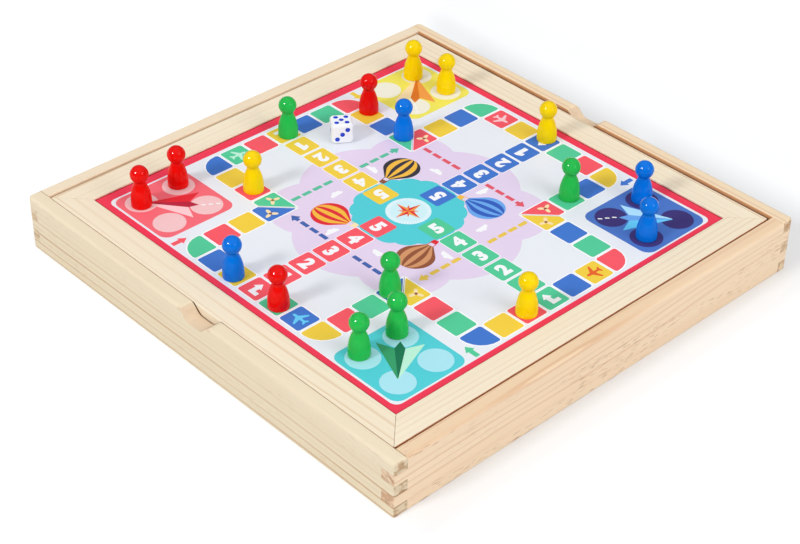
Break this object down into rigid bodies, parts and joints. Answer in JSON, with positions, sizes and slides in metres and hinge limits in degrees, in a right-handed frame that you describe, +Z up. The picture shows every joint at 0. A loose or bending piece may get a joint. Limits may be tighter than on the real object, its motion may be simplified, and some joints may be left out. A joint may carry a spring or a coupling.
{
  "type": "aeroplane chess board",
  "caption": "Square pine box with finger-jointed corners and thumb notches; its lift-off lid is a framed printed race-game board that carries turned pawns and a die.",
  "frame": {"origin": "middle of the box's underside, on the table that it stands on", "axes": "+Z up; the thumb notches are in the walls on -X and +X; -Y is the wall on the right of the picture"},
  "size_m": [0.303, 0.303, 0.0569],
  "materials": {
    "pine_box": "sanded, bare",
    "pine_board": "sanded, bare",
    "plywood": "bare",
    "laminated_print": "satin",
    "red_lacquer": "gloss lacquer",
    "yellow_lacquer": "gloss lacquer",
    "blue_lacquer": "gloss lacquer",
    "green_lacquer": "gloss lacquer",
    "die_white": "gloss"
  },
  "bodies": {
    "box": {"front_wall": "pine_box", "back_wall": "pine_box", "left_wall": "pine_box", "right_wall": "pine_box", "base_panel": "plywood", "front_ledge": "pine_box", "back_ledge": "pine_box", "left_ledge": "pine_box", "right_ledge": "pine_box"},
    "board": {"front_rail": "pine_board", "back_rail": "pine_board", "left_rail": "pine_board", "right_rail": "pine_board", "board_panel": "plywood", "printed_sheet": "laminated_print"},
    "red_pawn_1": {"red_pawn_1": "red_lacquer"},
    "red_pawn_2": {"red_pawn_2": "red_lacquer"},
    "red_pawn_3": {"red_pawn_3": "red_lacquer"},
    "red_pawn_4": {"red_pawn_4": "red_lacquer"},
    "yellow_pawn_1": {"yellow_pawn_1": "yellow_lacquer"},
    "yellow_pawn_2": {"yellow_pawn_2": "yellow_lacquer"},
    "yellow_pawn_3": {"yellow_pawn_3": "yellow_lacquer"},
    "yellow_pawn_4": {"yellow_pawn_4": "yellow_lacquer"},
    "yellow_pawn_5": {"yellow_pawn_5": "yellow_lacquer"},
    "blue_pawn_1": {"blue_pawn_1": "blue_lacquer"},
    "blue_pawn_2": {"blue_pawn_2": "blue_lacquer"},
    "blue_pawn_3": {"blue_pawn_3": "blue_lacquer"},
    "blue_pawn_4": {"blue_pawn_4": "blue_lacquer"},
    "green_pawn_1": {"green_pawn_1": "green_lacquer"},
    "green_pawn_2": {"green_pawn_2": "green_lacquer"},
    "green_pawn_3": {"green_pawn_3": "green_lacquer"},
    "green_pawn_4": {"green_pawn_4": "green_lacquer"},
    "green_pawn_5": {"green_pawn_5": "green_lacquer"},
    "die": {"die": "die_white"}
  },
  "joints": [
    {"name": "board_lift", "type": "slide", "parent": "box", "child": "board", "axis": [0, 0, 1], "range_m": [0, 0.06]},
    {"name": "red_pawn_1_lift", "type": "slide", "parent": "board", "child": "red_pawn_1", "axis": [0, 0, 1], "range_m": [0, 0.04]},
    {"name": "red_pawn_2_lift", "type": "slide", "parent": "board", "child": "red_pawn_2", "axis": [0, 0, 1], "range_m": [0, 0.04]},
    {"name": "red_pawn_3_lift", "type": "slide", "parent": "board", "child": "red_pawn_3", "axis": [0, 0, 1], "range_m": [0, 0.04]},
    {"name": "red_pawn_4_lift", "type": "slide", "parent": "board", "child": "red_pawn_4", "axis": [0, 0, 1], "range_m": [0, 0.04]},
    {"name": "yellow_pawn_1_lift", "type": "slide", "parent": "board", "child": "yellow_pawn_1", "axis": [0, 0, 1], "range_m": [0, 0.04]},
    {"name": "yellow_pawn_2_lift", "type": "slide", "parent": "board", "child": "yellow_pawn_2", "axis": [0, 0, 1], "range_m": [0, 0.04]},
    {"name": "yellow_pawn_3_lift", "type": "slide", "parent": "board", "child": "yellow_pawn_3", "axis": [0, 0, 1], "range_m": [0, 0.04]},
    {"name": "yellow_pawn_4_lift", "type": "slide", "parent": "board", "child": "yellow_pawn_4", "axis": [0, 0, 1], "range_m": [0, 0.04]},
    {"name": "yellow_pawn_5_lift", "type": "slide", "parent": "board", "child": "yellow_pawn_5", "axis": [0, 0, 1], "range_m": [0, 0.04]},
    {"name": "blue_pawn_1_lift", "type": "slide", "parent": "board", "child": "blue_pawn_1", "axis": [0, 0, 1], "range_m": [0, 0.04]},
    {"name": "blue_pawn_2_lift", "type": "slide", "parent": "board", "child": "blue_pawn_2", "axis": [0, 0, 1], "range_m": [0, 0.04]},
    {"name": "blue_pawn_3_lift", "type": "slide", "parent": "board", "child": "blue_pawn_3", "axis": [0, 0, 1], "range_m": [0, 0.04]},
    {"name": "blue_pawn_4_lift", "type": "slide", "parent": "board", "child": "blue_pawn_4", "axis": [0, 0, 1], "range_m": [0, 0.04]},
    {"name": "green_pawn_1_lift", "type": "slide", "parent": "board", "child": "green_pawn_1", "axis": [0, 0, 1], "range_m": [0, 0.04]},
    {"name": "green_pawn_2_lift", "type": "slide", "parent": "board", "child": "green_pawn_2", "axis": [0, 0, 1], "range_m": [0, 0.04]},
    {"name": "green_pawn_3_lift", "type": "slide", "parent": "board", "child": "green_pawn_3", "axis": [0, 0, 1], "range_m": [0, 0.04]},
    {"name": "green_pawn_4_lift", "type": "slide", "parent": "board", "child": "green_pawn_4", "axis": [0, 0, 1], "range_m": [0, 0.04]},
    {"name": "green_pawn_5_lift", "type": "slide", "parent": "board", "child": "green_pawn_5", "axis": [0, 0, 1], "range_m": [0, 0.04]},
    {"name": "die_lift", "type": "slide", "parent": "board", "child": "die", "axis": [0, 0, 1], "range_m": [0, 0.04]}
  ]
}
